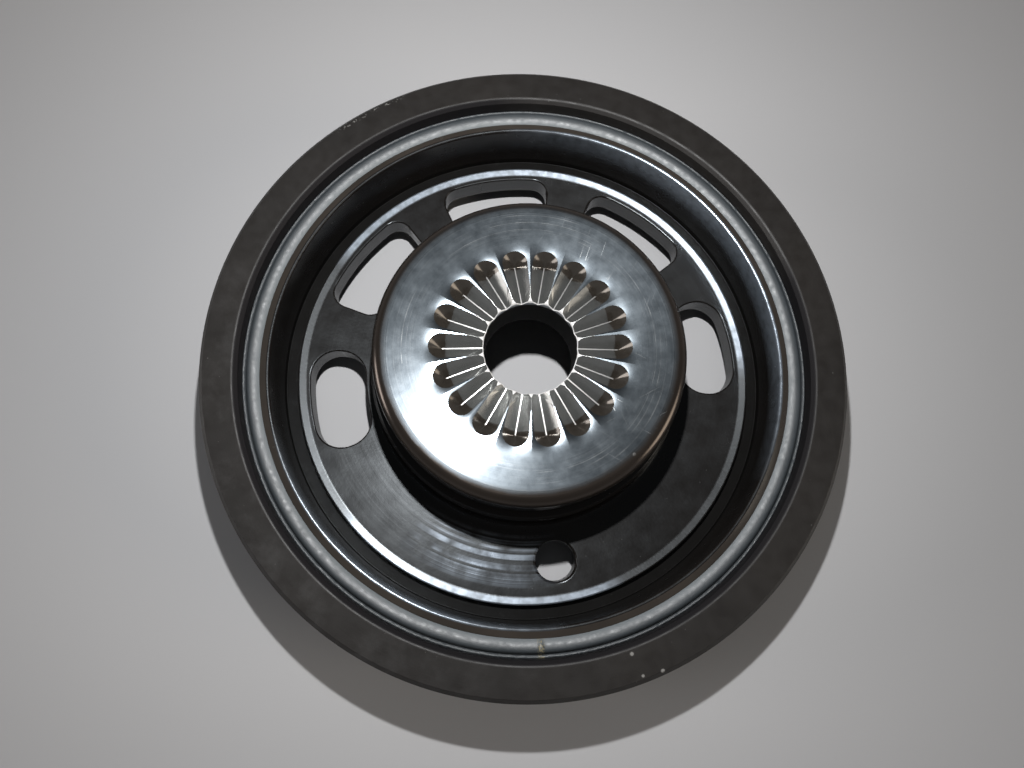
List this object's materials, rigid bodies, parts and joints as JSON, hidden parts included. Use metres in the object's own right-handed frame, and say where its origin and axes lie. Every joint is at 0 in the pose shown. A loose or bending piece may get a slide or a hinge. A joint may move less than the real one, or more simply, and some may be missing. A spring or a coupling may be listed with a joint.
{
  "type": "belt pulley",
  "caption": "Round crankshaft belt pulley and torsional damper: slotted steel hub with a serrated nose, a rubber ring and an outer ring with a ribbed belt track.",
  "frame": {"origin": "centre of the pulley's axis at the plane of its front face, on which it rests", "axes": "+Z along the axis towards the engine side and the serrated nose, +Y towards the middle slot of the web, so that the small round hole is on -Y"},
  "size_m": [0.148, 0.148, 0.0354],
  "materials": {
    "hub_steel": "black coated steel, satin and turned, with a polished nose face",
    "damper_rubber": "moulded black rubber with a soft sheen",
    "ring_iron": "matt dark brown-black coat on a turned iron ring"
  },
  "bodies": {
    "root": {"hub": "hub_steel", "rubber_ring": "damper_rubber", "belt_ring": "ring_iron"}
  },
  "joints": []
}
